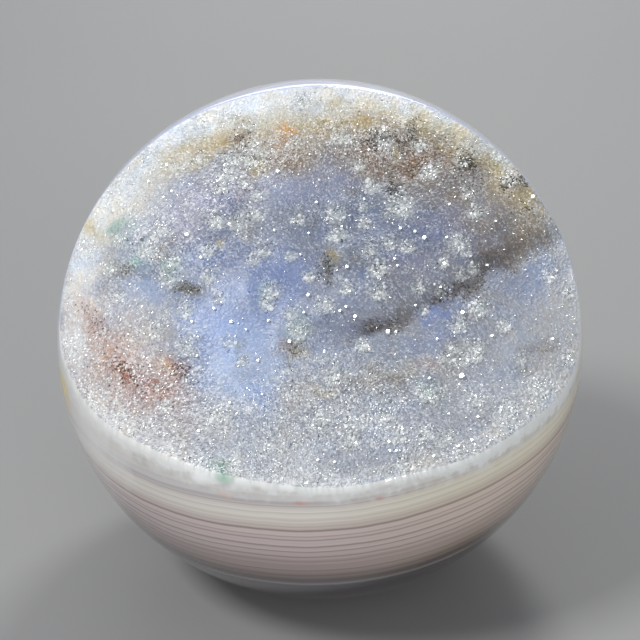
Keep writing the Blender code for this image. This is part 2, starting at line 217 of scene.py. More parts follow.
# Stains, mixed over the grey in this order: x, y, half the breadth and half the height as seen in
# the photo, a turn in degrees where there is one, and a strength
STAINS = (
    ("periwinkle", linear(156, 180, 222), (
        (236, 345, 46, 58, 1.0), (150, 290, 32, 15, -10, 0.8), (256, 392, 28, 22, 0.9),
        (205, 320, 26, 20, 0.8), (210, 376, 18, 16, 0.7), (545, 300, 26, 44, 0.9),
        (330, 344, 20, 8, -10, 0.3))),
    ("cornflower", linear(114, 133, 182), (
        (286, 284, 34, 34, 0.9), (255, 300, 26, 24, 0.6), (246, 250, 34, 24, 0.9),
        (300, 305, 20, 20, 0.4), (440, 312, 20, 12, -20, 0.8), (372, 280, 22, 16, 0.35),
        (368, 228, 26, 18, 0.45), (330, 186, 40, 12, 0.3), (290, 205, 34, 18, 0.45),
        (455, 345, 22, 12, 0.5), (345, 328, 16, 8, 0.4), (212, 264, 28, 22, 0.75),
        (208, 310, 18, 18, 0.7), (210, 345, 14, 16, 0.5), (415, 235, 26, 18, 0.35),
        (490, 372, 20, 12, 0.4), (450, 222, 20, 12, 0.3))),
    ("dusk", linear(105, 115, 139), (
        (230, 205, 24, 18, 0.5), (352, 236, 26, 18, 0.5), (292, 246, 22, 14, 0.4),
        (235, 240, 44, 26, -20, 0.65), (300, 222, 40, 16, 0.5), (170, 250, 26, 20, 0.5),
        (382, 258, 50, 22, -10, 0.5), (255, 166, 32, 12, -10, 0.4), (292, 398, 28, 11, 0.5),
        (405, 222, 60, 30, 8, 0.6), (330, 246, 34, 24, 0.5), (295, 224, 36, 18, 0.5),
        (395, 285, 36, 22, 0.55), (385, 314, 40, 12, -15, 0.45), (450, 278, 40, 14, -22, 0.3),
        (250, 222, 34, 22, 0.75), (165, 268, 26, 16, 0.5), (250, 372, 16, 12, 0.45),
        (425, 384, 46, 16, 0.2), (380, 196, 50, 16, 0.55), (335, 222, 30, 16, 0.4),
        (460, 245, 30, 16, 0.35), (490, 282, 24, 8, -20, 0.25))),
    ("mauve", linear(152, 149, 181), (
        (200, 196, 32, 22, -30, 0.75), (172, 222, 26, 20, 0.7), (245, 186, 30, 18, -20, 0.5),
        (330, 178, 60, 12, 0.25), (455, 228, 34, 20, 10, 0.25), (545, 300, 28, 26, 0.3),
        (410, 262, 26, 16, 0.3), (305, 402, 36, 12, 0.35), (408, 428, 20, 14, 0.35))),
    # The frost whitens the outer margin: partly frosted white crystals and partly a painted sheen where the
    # druse turns away.
    ("frost", linear(253, 255, 255), (
        (205, 128, 26, 10, -30, 0.4), (86, 270, 14, 40, 8, 0.5), (105, 205, 24, 60, 38, 1.0),
        (74, 280, 17, 44, 8, 0.95), (165, 135, 55, 20, -38, 1.0), (215, 118, 30, 14, -25, 0.65),
        (258, 127, 12, 8, 0.5), (250, 105, 60, 19, -14, 1.0), (330, 93, 80, 12, 1.0),
        (375, 101, 36, 9, 6, 0.7), (425, 108, 56, 12, 22, 1.0), (455, 128, 26, 9, 30, 0.9),
        (452, 130, 16, 8, 20, 0.3), (500, 160, 34, 11, 43, 0.8), (545, 212, 24, 6, 60, 0.6),
        (576, 290, 40, 14, 82, 0.9), (568, 345, 36, 22, 90, 0.8), (552, 395, 40, 20, -58, 0.75),
        (500, 432, 50, 14, -28, 0.6), (420, 468, 54, 12, -15, 0.6), (330, 486, 60, 8, 0.5),
        (534, 380, 28, 22, 0.55), (292, 463, 24, 11, 0.5), (205, 458, 24, 11, 20, 0.5),
        (560, 315, 18, 30, 0.35), (240, 480, 44, 9, 12, 0.8), (180, 462, 38, 12, 25, 0.9),
        (110, 415, 44, 14, 42, 0.9), (72, 355, 30, 9, 70, 0.9), (128, 200, 30, 36, 30, 0.3),
        (140, 435, 40, 20, 40, 0.4), (92, 308, 18, 16, 0.6))),
    ("silver", linear(198, 202, 210), (
        (172, 312, 16, 14, 0.35), (252, 430, 20, 12, 0.3), (330, 440, 120, 34, -4, 0.45),
        (225, 430, 60, 30, 20, 0.65), (450, 430, 80, 26, -20, 0.3), (130, 250, 26, 34, 0.45),
        (130, 312, 24, 20, 0.7), (300, 378, 30, 16, 0.2), (540, 352, 44, 54, 1.0),
        (470, 390, 50, 24, -10, 0.45), (555, 312, 22, 26, 0.5), (170, 190, 26, 22, 0.3),
        (195, 275, 24, 22, 0.2), (150, 345, 30, 18, 0.5), (330, 366, 60, 24, 0.35),
        (205, 458, 30, 12, 20, 0.8), (330, 290, 14, 14, 0.3), (290, 340, 16, 10, 0.3),
        (410, 366, 40, 14, 0.1), (300, 462, 30, 8, 0.5), (372, 430, 20, 12, 0.6), (310, 310, 24, 10, 0.3))),
    ("cream", linear(236, 228, 196), (
        (185, 155, 40, 13, -28, 0.6), (230, 128, 34, 8, -15, 0.5), (330, 112, 50, 9, 0.5),
        (400, 116, 40, 8, 15, 0.6), (450, 133, 34, 10, 25, 0.8), (500, 170, 24, 12, 40, 0.6),
        (300, 400, 26, 8, -10, 0.3), (95, 232, 10, 9, 0.8), (255, 126, 20, 7, -10, 0.6),
        (380, 372, 60, 10, -10, 0.25), (460, 352, 16, 8, 0.3))),
    ("sand", linear(192, 170, 120), (
        (468, 156, 44, 13, 25, 0.55), (500, 190, 28, 18, 30, 0.6), (533, 218, 16, 26, 20, 0.6),
        (250, 138, 44, 13, -12, 0.7), (345, 130, 50, 12, 0.8), (250, 162, 26, 14, 0.35),
        (520, 250, 20, 10, -20, 0.3), (300, 150, 30, 12, 0.5), (203, 150, 38, 11, -32, 0.4),
        (400, 136, 50, 10, 12, 0.5))),
    ("taupe", linear(132, 114, 92), (
        (263, 160, 40, 12, -10, 0.5), (398, 166, 46, 20, 6, 0.85), (446, 188, 40, 22, 20, 0.65),
        (492, 224, 36, 18, -15, 0.55), (345, 158, 34, 12, 0.35), (290, 160, 26, 12, 0.7),
        (378, 150, 30, 16, 0.65), (520, 236, 24, 12, -20, 0.2), (420, 150, 30, 12, 10, 0.5),
        (488, 255, 24, 14, -20, 0.5), (385, 378, 44, 12, -10, 0.35))),
    ("ochre", linear(188, 164, 70), (
        (290, 120, 24, 8, 0.45), (340, 122, 40, 7, 0.5), (226, 143, 12, 7, -20, 0.4),
        (421, 129, 9, 7, 0.8), (499, 170, 8, 9, 30, 0.65), (525, 195, 8, 10, 20, 0.6),
        (95, 231, 6, 6, 0.35), (330, 100, 10, 6, 0.5), (331, 257, 5, 4, 0.7), (221, 240, 7, 4, 0.7),
        (214, 147, 11, 7, -40, 0.45), (254, 174, 8, 6, 0.6), (322, 390, 12, 5, 0.5),
        (298, 354, 12, 8, 20, 0.5), (256, 164, 8, 5, 0.5), (391, 150, 6, 6, 0.9), (362, 118, 12, 6, 0.5),
        (448, 150, 26, 8, 20, 0.35), (480, 168, 20, 8, 30, 0.2))),
    ("orange", linear(222, 160, 44), (
        (280, 134, 7, 9, 1.0), (165, 366, 12, 8, 20, 1.0), (100, 362, 6, 24, 30, 0.5),
        (418, 158, 13, 8, -15, 0.6), (364, 117, 14, 6, 0.35), (300, 502, 6, 4, 0.4))),
    ("brown", linear(116, 84, 58), (
        (408, 132, 20, 11, 10, 0.5), (420, 153, 24, 10, 0.5), (366, 155, 30, 9, 0.5),
        (332, 133, 24, 7, 0.35), (290, 154, 28, 12, 0.5), (384, 166, 34, 10, 0.4),
        (237, 138, 11, 8, -40, 1.0), (413, 163, 16, 7, -25, 0.75), (418, 147, 20, 9, -10, 0.5),
        (385, 140, 20, 10, 0.3), (355, 152, 22, 6, 0.4), (290, 346, 10, 9, 30, 0.6),
        (167, 247, 6, 4, 0.7), (345, 385, 40, 10, -15, 0.2), (500, 252, 30, 8, -24, 0.35),
        (545, 350, 18, 6, -10, 0.5), (450, 160, 30, 8, 15, 0.25))),
    ("blush", linear(226, 204, 194), (
        (112, 362, 54, 42, 32, 0.9), (150, 412, 44, 22, 25, 0.4), (80, 315, 20, 24, 0.5))),
    ("rust red", linear(173, 110, 90), (
        (130, 376, 22, 15, 20, 0.95), (92, 328, 12, 12, 20, 0.5), (158, 392, 26, 14, 10, 0.85),
        (112, 352, 14, 18, 20, 0.45), (140, 404, 26, 9, 15, 0.15), (430, 362, 14, 5, 0.35),
        (172, 370, 14, 10, 0.5))),
    ("olive", linear(100, 94, 66), (
        (188, 289, 15, 8, 12, 0.85), (125, 272, 11, 8, 0.8), (324, 268, 9, 10, 0.8),
        (245, 340, 5, 9, 0.5), (285, 410, 10, 5, 0.2), (520, 368, 14, 5, 0.3), (470, 315, 6, 6, 0.5),
        (250, 232, 8, 6, 0.4), (311, 221, 8, 5, 0.4), (353, 260, 9, 5, 0.5), (249, 356, 5, 5, 0.4),
        (428, 208, 7, 4, 0.4), (388, 182, 6, 8, 0.4), (356, 194, 8, 5, 0.4), (252, 240, 5, 5, 0.3),
        (390, 352, 8, 5, 0.3))),
    ("teal", linear(140, 200, 184), (
        (118, 228, 9, 9, 0.7), (137, 262, 8, 7, 0.7), (172, 263, 9, 9, 0.5), (298, 328, 10, 12, 0.25),
        (429, 392, 8, 8, 0.4), (268, 294, 8, 8, 0.3))),
    ("green", linear(112, 164, 136), (
        (223, 472, 10, 7, 0.9), (213, 469, 6, 5, 0.4))),
    ("char", linear(66, 62, 58), (
        (371, 141, 5, 9, 20, 0.8), (407, 127, 7, 8, 30, 0.8), (462, 162, 8, 11, 25, 1.0),
        (513, 182, 11, 6, -10, 0.9), (443, 137, 5, 4, 10, 0.3), (390, 186, 5, 12, -12, 0.9),
        (415, 164, 8, 5, -20, 0.6), (398, 138, 7, 4, 20, 0.5), (527, 205, 5, 6, 20, 0.3),
        (324, 270, 7, 8, 0.5), (127, 374, 10, 9, 0.6), (181, 373, 6, 9, -35, 0.75),
        (82, 316, 10, 7, 0.15), (239, 139, 6, 5, 0.5), (97, 328, 8, 6, 0.25), (188, 289, 8, 5, 12, 0.4),
        (125, 272, 7, 5, 0.4), (296, 354, 8, 6, 0.3), (110, 340, 8, 8, 0.12), (382, 323, 20, 5, -10, 0.5),
        (455, 290, 30, 6, -24, 0.35), (244, 156, 12, 5, -20, 0.4), (383, 135, 8, 6, 0.3),
        (467, 182, 8, 6, 0.2))),
)
# The furrow's brown: partly an iron stain and partly painted shade in the groove, spread wider behind it.
FURROW_STAIN_AND_SHADE = linear(88, 80, 72)
# The furrow's path in the photo, its strength at each point, and its breadth in front and behind
FURROW_SEEN = ((548, 240), (520, 253), (494, 266), (470, 284), (440, 298), (415, 312), (398, 322),
               (372, 326), (350, 334), (325, 343), (300, 354))
FURROW_STRENGTH = (0.2, 0.38, 0.7, 0.8, 0.75, 0.4, 0.8, 1.0, 0.35, 0.15, 0.2)
FURROW_BREADTH = (6.5, 12.5)
# Spots of snow-white crystals at the edge, given as the stains are
SNOW = linear(252, 252, 253)
SNOW_SEEN = (
    (73, 343, 9, 13, 1.0), (69, 320, 4, 14, 0.6), (78, 362, 6, 9, 0.5), (317, 484, 22, 4, 4, 0.45),
    (350, 480, 16, 8, 0.65), (414, 472, 16, 4, -16, 0.5), (192, 463, 20, 5, 24, 0.6),
    (203, 474, 11, 4, 20, 0.9), (233, 466, 9, 5, 10, 0.7), (290, 479, 14, 6, 4, 0.85),
    (322, 474, 18, 5, 0.3),
)
# Tufts of white crystals: x, y and radius in the photo
TUFTS = (
    (270, 290, 10), (266, 304, 7), (323, 304, 9), (290, 312, 8), (298, 330, 10), (368, 248, 8),
    (377, 269, 9), (378, 291, 9), (335, 213, 10), (297, 218, 7), (236, 222, 9), (217, 220, 8),
    (262, 249, 9), (253, 259, 6), (208, 249, 8), (207, 276, 8), (290, 255, 6), (332, 235, 7),
    (364, 222, 7), (389, 242, 8), (400, 208, 10), (408, 246, 7), (309, 276, 6), (346, 287, 7),
    (218, 298, 6), (228, 342, 7), (241, 360, 6), (248, 408, 7), (213, 415, 8), (287, 368, 6),
    (360, 344, 6), (341, 133, 11), (383, 137, 10), (418, 144, 7), (462, 160, 7), (508, 180, 7),
    (399, 200, 13), (371, 186, 8), (358, 164, 7), (362, 205, 6), (340, 234, 7), (457, 241, 10),
    (443, 263, 5), (378, 266, 8), (474, 211, 8), (428, 172, 8), (467, 193, 6),
    (498, 155, 5), (228, 119, 9), (249, 123, 7), (175, 165, 9), (197, 156, 7), (234, 157, 9),
    (248, 160, 9), (256, 149, 8), (220, 185, 10), (242, 182, 6), (256, 193, 8), (227, 174, 9),
    (120, 241, 8), (214, 219, 8), (254, 214, 8), (161, 227, 10), (147, 247, 12), (167, 278, 8),
    (172, 262, 7), (130, 210, 10), (109, 266, 8), (185, 309, 9),
    (187, 347, 10), (166, 406, 8), (224, 415, 9), (154, 330, 9), (117, 296, 7), (148, 427, 8),
    (117, 413, 8), (74, 344, 11), (452, 348, 6), (448, 356, 8), (462, 358, 9), (474, 356, 8),
    (478, 346, 7), (429, 393, 10), (521, 358, 6), (475, 397, 9), (505, 406, 10), (503, 324, 8),
    (458, 324, 9), (550, 275, 8), (568, 291, 6), (568, 358, 7), (539, 386, 11), (473, 268, 6),
    (461, 275, 5), (465, 251, 6), (424, 310, 5), (418, 287, 7), (440, 290, 6), (478, 307, 10),
    (357, 420, 10), (383, 413, 8), (395, 434, 10), (353, 438, 8), (322, 416, 8), (366, 345, 6),
    (334, 378, 8), (426, 431, 8), (415, 472, 8), (342, 486, 7), (356, 484, 7), (318, 483, 8),
    (306, 486, 7), (442, 438, 9), (457, 453, 8), (508, 439, 9), (522, 430, 8), (401, 462, 6),
    (110, 180, 9), (145, 150, 9), (200, 122, 9), (300, 100, 10), (85, 250, 9), (90, 400, 8),
    (195, 462, 7), (235, 470, 8), (275, 478, 7),
)
TUFT_GREY = linear(176, 188, 184)
# White of the tufts' painted lit edge, also the tint of the faces that mirror the lamp
LIT_WHITE = linear(238, 245, 241)
TUFT_COVER = 0.95
# A tuft's painted lit lower edge, white where light falls on it: its place, half its breadth and half its
# height, in tuft radii
TUFT_LIT_EDGE = (0.1, 0.45, 0.75, 0.42)
# Calm parts, where crystals are finest, and lively ones, where most sparkle, given as the stains are
CALM = (
    (238, 345, 46, 70, 1.0), (150, 291, 28, 12, 1.0), (290, 262, 26, 34, 1.0), (350, 325, 30, 12, 1.0),
    (440, 311, 16, 9, 1.0), (455, 418, 70, 30, -20, 0.6), (540, 330, 34, 60, 0.35),
    (352, 460, 50, 13, 0.75), (215, 435, 40, 22, 15, 0.35), (325, 482, 70, 8, 0.6),
    (354, 149, 14, 6, 0.8), (410, 158, 15, 6, -20, 0.8),
)
LIVELY = (
    (155, 228, 46, 56, 30, 0.5), (250, 158, 66, 24, -20, 1.0), (390, 145, 100, 30, 12, 0.75),
    (118, 340, 44, 60, 0.7), (215, 196, 40, 26, 0.25), (330, 412, 90, 36, 1.0),
)


# Where the druse's front begins in the photo: a point on its line, the line's fall to the right,
# and the breadth over which the front grows
FRONT_LINE = (320, 335, 0.1, 60)
PLAIN_SPARKLE = 0.21
LIVELY_SPARKLE = 0.5
TUFT_SPARKLE = 0.5
CALM_LOSS = 0.12
MARGIN_SPARKLE = 0.35                   # of the lively parts'
MARGIN_START = 0.75
MARGIN_BREADTH = 0.15
SPARKLE_DRIFT = 0.4
# How many pixels a stain's edge strays, over what length, and the seeds of its noise
STRAYS = ((6, 0.0022, 1, 3), (4, 0.0007, 2, 4))
GRAIN_STRAY = 2.2
WARM_DRIFT = 0.14 * np.array((1.0, 0.25, -1.0))
# Crystals and crust faces are whitened towards this: partly milky-white quartz and partly painted glints.
WHITE_AND_GLINT = linear(250, 252, 252)
SOOT = linear(58, 54, 50)


def spot_cover(x, y, spots):
    """How far spots cover places in the photo, 0 to 1: bell-shaped ovals, joined."""
    cover = np.zeros(len(x))
    for spot_x, spot_y, breadth, height, *turn, strength in spots:
        turn = math.radians(turn[0] if turn else 0)
        along = (x - spot_x) * math.cos(turn) + (y - spot_y) * math.sin(turn)
        aside = (y - spot_y) * math.cos(turn) - (x - spot_x) * math.sin(turn)
        weight = strength * np.exp(-((along / breadth) ** 2 + (aside / height) ** 2))
        cover = 1 - (1 - cover) * (1 - weight)
    return cover


def in_tufts(x, y):
    """How far tufts cover places in the photo: each is a round spot of its radius."""
    return spot_cover(x, y, [(*tuft, tuft[-1], TUFT_COVER) for tuft in TUFTS])


def in_front(x, y, calm):
    """How far into the druse's front places in the photo are, 0 to 1: how far below its line, over
    its breadth, and less where it is calm."""
    line_x, line_y, fall, breadth = FRONT_LINE
    return np.clip((y - line_y - fall * (x - line_x)) / breadth, 0, 1) * (1 - calm)


def druse_look(across, up, random):
    """Colour of the druse's ground at places on it, how much crystals there sparkle and how many
    are dark. The stains are mixed over the grey in order, each with a ragged edge, and the whole
    drifts between warm and cool. Then come the furrow's brown, partly stain and partly painted
    shade, which ends sharply in front, the snow-white spots, and the tufts, grey-green with a
    painted lit lower edge."""
    x, y = seen_on_druse(across, up)
    tuft = in_tufts(x, y)
    # Each tuft's lower edge is whitened as painted light on its lit side.
    aside, below, breadth, height = TUFT_LIT_EDGE
    edges = [(tuft_x + aside * size, tuft_y + below * size, breadth * size, height * size, 1.0)
             for tuft_x, tuft_y, size in TUFTS]
    bright = spot_cover(x, y, edges)
    calm = spot_cover(x, y, CALM)
    lively = np.maximum(in_front(x, y, calm), spot_cover(x, y, LIVELY))
    margin = np.clip((share_of_rim(across, up) - MARGIN_START) / MARGIN_BREADTH, 0, 1)
    sparkle = PLAIN_SPARKLE + LIVELY_SPARKLE * np.maximum(lively, MARGIN_SPARKLE * margin)
    sparkle = sparkle + TUFT_SPARKLE * tuft - CALM_LOSS * calm
    sparkle = sparkle * (1 + SPARKLE_DRIFT * smooth_noise(across, up, 0.0006, 9))
    for reach, length, seed_x, seed_y in STRAYS:
        x = x + reach * smooth_noise(across, up, length, seed_x)
        y = y + reach * smooth_noise(across, up, length, seed_y)
    x = x + random.normal(0, GRAIN_STRAY, len(x))
    y = y + random.normal(0, GRAIN_STRAY, len(x))
    colour = np.tile(SLATE_GREY, (len(x), 1))
    dark = np.zeros(len(x))
    for name, ink, spots in STAINS:
        cover = spot_cover(x, y, spots)
        if name == "char":
            dark = cover
        else:
            colour = colour + (ink - colour) * cover[:, None]
    warm = 0.6 * smooth_noise(across, up, 0.0021, 7) + 0.4 * smooth_noise(across, up, 0.0008, 8)
    colour = colour * (1 + (warm * (1 - 0.8 * calm))[:, None] * WARM_DRIFT)
    gap, along = path_offset(x, y, FURROW_SEEN)
    crease_x, crease_y = np.array(FURROW_SEEN[::-1]).T
    breadth = np.where(y > np.interp(x, crease_x, crease_y), *FURROW_BREADTH)
    cover = np.interp(along, np.arange(len(FURROW_STRENGTH)), FURROW_STRENGTH)
    cover = cover * np.exp(-(gap / breadth) ** 2)
    # Painted shade and stain in the furrow.
    colour = colour + (FURROW_STAIN_AND_SHADE - colour) * cover[:, None]
    colour = colour + (SNOW - colour) * spot_cover(x, y, SNOW_SEEN)[:, None]
    lighter = np.maximum(colour, TUFT_GREY)
    colour = colour + (lighter - colour) * (0.28 * tuft * (1 - 0.7 * cover))[:, None]
    # Painted light: the tufts' lit lower edges.
    colour = colour + (LIT_WHITE - colour) * (0.5 * bright * (1 - 0.7 * cover))[:, None]
    return colour, np.clip(sparkle * (1 - 0.6 * cover), 0.08, 1.0), dark


def crystal_tints(look, standing, random):
    """One colour for each face of the crust or each standing crystal: the ground's colour, darkened
    at random as painted shade between the crystals, and whitened, partly as milky-white quartz and
    partly as painted glints. The crust's faces whiten by a random number raised to a power, so that
    few shine where sparkle is low. Standing crystals are nearly white with a chance that grows with
    sparkle, or else near the ground's colour. In the dark spots some are dark by chance."""
    ground, sparkle, dark = look
    count = len(ground)
    shading, darkening = (0.3, 0.6) if standing else (1.0, 0.95)
    draw = random.uniform(0, 1, count)
    if standing:
        dull = 0.35 * np.minimum(3 * sparkle, 1) * draw
        shine = np.where(random.uniform(0, 1, count) < 0.5 * sparkle, 0.8 + 0.2 * draw, dull)
    else:
        shine = np.clip(0.2 + sparkle, 0, 0.85) * draw ** (1.15 / sparkle)
    # Painted shade: faces and crystals darkened at random, more where crystals are coarse, for the shadow
    # between them.
    shade = 1 - (0.02 + 0.47 * sparkle) * shading * random.uniform(0, 1, count)
    colour = ground * shade[:, None]
    # Whitening: partly milky-white quartz, partly painted glints.
    colour = colour + (WHITE_AND_GLINT - colour) * shine[:, None]
    black = random.uniform(0, 1, count) < darkening * dark
    soot = (0.4 * SOOT + 0.2 * ground) * random.uniform(0.5, 1.8, count)[:, None]
    return np.where(black[:, None], soot, colour)


# THE STONE
# One closed surface: fine quartz points grown side by side over the druse, then the ground edge,
# the polished skin and the small ground flat. Crystals and skin each have their own finish.
RINGS = 140
SKIN_ROWS = 40
ROW_CROWDING = 0.8                      # below 1, rows are wider beside the druse
FINE_TALLEST = 0.00028
FINE_SHORTEST = 0.00005
VALLEY_DEPTH = 0.00003
FINE_JITTER = 0.42                      # of the lattice's spacing
TIP_SHARE = 0.36
FLUSH = 0.00001                         # crystals beside the ground edge end this far inside the ball
COARSENESS = (0.15, 1.4)


def hexagon_lattice(rings):
    """A six-sided lattice of points: for each point its ring, its bearing as if the ring were
    round, and the triangles between neighbours."""
    span = np.arange(-rings, rings + 1)
    q, r = np.meshgrid(span, span, indexing="ij")
    inside = np.abs(q + r) <= rings
    number = np.full(q.shape, -1)
    number[inside] = np.arange(inside.sum())
    q, r = q[inside], r[inside]
    ring = np.maximum.reduce([np.abs(q), np.abs(r), np.abs(q + r)])
    x = q + r / 2
    y = r * math.sqrt(3) / 2
    angle = np.mod(np.arctan2(y, x), 2 * math.pi)
    sixth = np.minimum(np.floor(angle / (math.pi / 3) + 1e-9), 5)
    corner = sixth * math.pi / 3
    along = (np.cos(corner) * y - np.sin(corner) * x) / math.sin(math.pi / 3)
    part = along / np.maximum(ring, 1)
    bearing = (sixth + part) * math.pi / 3
    padded = np.pad(number, 1, constant_values=-1)
    here = padded[1:-1, 1:-1]
    right = padded[2:, 1:-1]
    above = padded[1:-1, 2:]
    left_above = padded[:-2, 2:]
    first = np.stack([here, right, above], axis=-1).reshape(-1, 3)
    second = np.stack([here, above, left_above], axis=-1).reshape(-1, 3)
    triangles = np.concatenate([first, second])
    return ring, bearing, triangles[(triangles >= 0).all(axis=1)]


def coarseness(across, up):
    """How coarse the crystals are at places on the druse: fine and shallow over the back and the
    clear blue middle, coarser in front, in the margin, in patches and in the tufts."""
    x, y = seen_on_druse(across, up)
    calm = spot_cover(x, y, CALM)
    coarse = 0.3 + 0.15 * smooth_noise(across, up, 0.0035, 5) + 0.1 * smooth_noise(across, up, 0.0012, 6)
    coarse = coarse + 0.35 * in_front(x, y, calm) - 0.15 * calm
    coarse = coarse + 0.15 * np.clip((share_of_rim(across, up) - 0.72) / 0.28, 0, 1)
    return np.clip(coarse + 0.5 * in_tufts(x, y), *COARSENESS)


def crust(random):
    """Across, up and height of the crust's lattice, its outer ring on the ground edge: tips stand
    above the face's height and valleys a little below it."""
    ring, bearing, triangles = hexagon_lattice(RINGS)
    tip = random.uniform(0, 1, len(ring)) < TIP_SHARE
    out = rim_distance(bearing) * ring / RINGS
    spacing = BALL * 0.85 / RINGS
    loose = (ring < RINGS) * FINE_JITTER * spacing
    across = out * np.cos(bearing) + loose * random.uniform(-1, 1, len(out))
    up = out * np.sin(bearing) + loose * random.uniform(-1, 1, len(out))
    coarse = coarseness(across, up)
    size = random.beta(1.4, 2.6, len(out)) * coarse
    rise = np.where(tip, FINE_SHORTEST + (FINE_TALLEST - FINE_SHORTEST) * size, -VALLEY_DEPTH)
    rise = rise * np.clip((coarse - 0.1) / 0.5, 0.15, 1)
    room = np.sqrt(np.clip(BALL ** 2 - across ** 2 - up ** 2, 0.0, None))
    height = np.minimum(face_height(across, up) + rise, room - FLUSH)
    height = np.where(ring == RINGS, room, height)
    return ring, bearing, across, up, height, triangles


def skin_rows(bearing):
    """Rows of points from the ground edge down the ball to the flat. The ball is rolled out flat
    from the middle of the druse, where the rows divide straight lines from edge to flat."""
    out = rim_distance(bearing) / BALL
    height = np.sqrt(1 - out ** 2)
    edge_x = out * np.cos(bearing) / (1 - height)
    edge_y = out * np.sin(bearing) / (1 - height)
    down = np.array([0.0, -math.sin(LEAN), -math.cos(LEAN)])
    flat_angle = math.asin(FLAT / BALL)
    side = np.array([0.0, -down[2], down[1]])
    lean_in = math.cos(flat_angle) * down - math.sin(flat_angle) * side
    lean_out = math.cos(flat_angle) * down + math.sin(flat_angle) * side
    near = lean_in[1] / (1 - lean_in[2])
    far = lean_out[1] / (1 - lean_out[2])
    middle, reach = (near + far) / 2, abs(far - near) / 2
    toward = np.arctan2(edge_y - middle, edge_x)
    flat_x = reach * np.cos(toward)
    flat_y = middle + reach * np.sin(toward)
    part = (np.arange(1, SKIN_ROWS + 1) / SKIN_ROWS)[:, None] ** ROW_CROWDING
    x = edge_x + (flat_x - edge_x) * part
    y = edge_y + (flat_y - edge_y) * part
    scale = x ** 2 + y ** 2
    across = 2 * x / (scale + 1)
    up = 2 * y / (scale + 1)
    height = (scale - 1) / (scale + 1)
    return to_world(BALL * across, BALL * up, BALL * height)


def put_mesh(name, places, triangles):
    """A mesh object with flat faces from arrays of places and of triangles."""
    mesh = bpy.data.meshes.new(name)
    mesh.vertices.add(len(places))
    mesh.vertices.foreach_set("co", places.astype(np.float32).ravel())
    mesh.loops.add(triangles.size)
    mesh.loops.foreach_set("vertex_index", triangles.astype(np.int32).ravel())
    mesh.polygons.add(len(triangles))
    mesh.polygons.foreach_set("loop_start", np.arange(0, triangles.size, 3, dtype=np.int32))
    mesh.polygons.foreach_set("use_smooth", np.zeros(len(triangles), dtype=bool))
    mesh.update(calc_edges=True)
    mesh.validate()
    piece = bpy.data.objects.new(name, mesh)
    bpy.context.scene.collection.objects.link(piece)
    return piece


def put_colour(piece, name, colours, domain="POINT"):
    """Keeps a colour for each point or triangle's corner of a piece, for its material to read."""
    layer = piece.data.color_attributes.new(name, "FLOAT_COLOR", domain)
    full = np.concatenate([colours, np.ones((len(colours), 1))], axis=1)
    layer.data.foreach_set("color", full.astype(np.float32).ravel())


random = np.random.default_rng(11)
ring, bearing, across, up, height, druse_faces = crust(random)
crust_points = to_world(across, up, height)
edge = np.flatnonzero(ring == RINGS)
edge = edge[np.argsort(bearing[edge])]
skin_points = skin_rows(bearing[edge]).reshape(-1, 3)
columns = len(edge)
skin_points[-columns:, 2] = FLAT_LEVEL
stone_points = np.concatenate([crust_points, skin_points, [[0.0, 0.0, FLAT_LEVEL]]])
rows = len(crust_points) + np.arange(SKIN_ROWS * columns).reshape(SKIN_ROWS, columns)
grid = np.concatenate([edge[None, :], rows])
beside = np.roll(grid, -1, axis=1)
upper = np.stack([grid[:-1], grid[1:], beside[1:]], axis=-1).reshape(-1, 3)
lower = np.stack([grid[:-1], beside[1:], beside[:-1]], axis=-1).reshape(-1, 3)
hub = np.full(columns, len(stone_points) - 1)
flat_faces = np.stack([grid[-1], hub, beside[-1]], axis=-1)
stone_faces = np.concatenate([druse_faces, upper, lower, flat_faces])
stone = put_mesh("agate_ball", stone_points, stone_faces)
is_skin = np.arange(len(stone_faces)) >= len(druse_faces)
is_flat = np.arange(len(stone_faces)) >= len(stone_faces) - columns
stone.data.polygons.foreach_set("use_smooth", is_skin & ~is_flat)

# The skin's own colour comes from its material, so its corners carry a plain grey.
tints = np.full((len(stone_faces), 3), 0.5)
face_look = druse_look(across[druse_faces].mean(axis=1), up[druse_faces].mean(axis=1), random)
tints[:len(druse_faces)] = crystal_tints(face_look, False, random)
put_colour(stone, "stain", np.repeat(tints, 3, axis=0), "CORNER")

# How far the skin is below the druse's ground, in millimetres, for the white rind under the druse
buried = np.zeros(len(stone_points))
skin_across, skin_up, skin_out = to_face(skin_points - np.array((0, 0, CENTRE))).T
below = face_height(skin_across / BREADTH, skin_up) - skin_out
buried[len(crust_points):-1] = below * 1000
buried[-1] = buried[-2]
deep = stone.data.attributes.new("depth", "FLOAT", "POINT")
deep.data.foreach_set("value", buried.astype(np.float32))


def new_material(name):
    """An empty material with a Principled shader, and its node tree."""
    material = bpy.data.materials.new(name)
    material.use_nodes = True
    return material, material.node_tree, material.node_tree.nodes["Principled BSDF"]


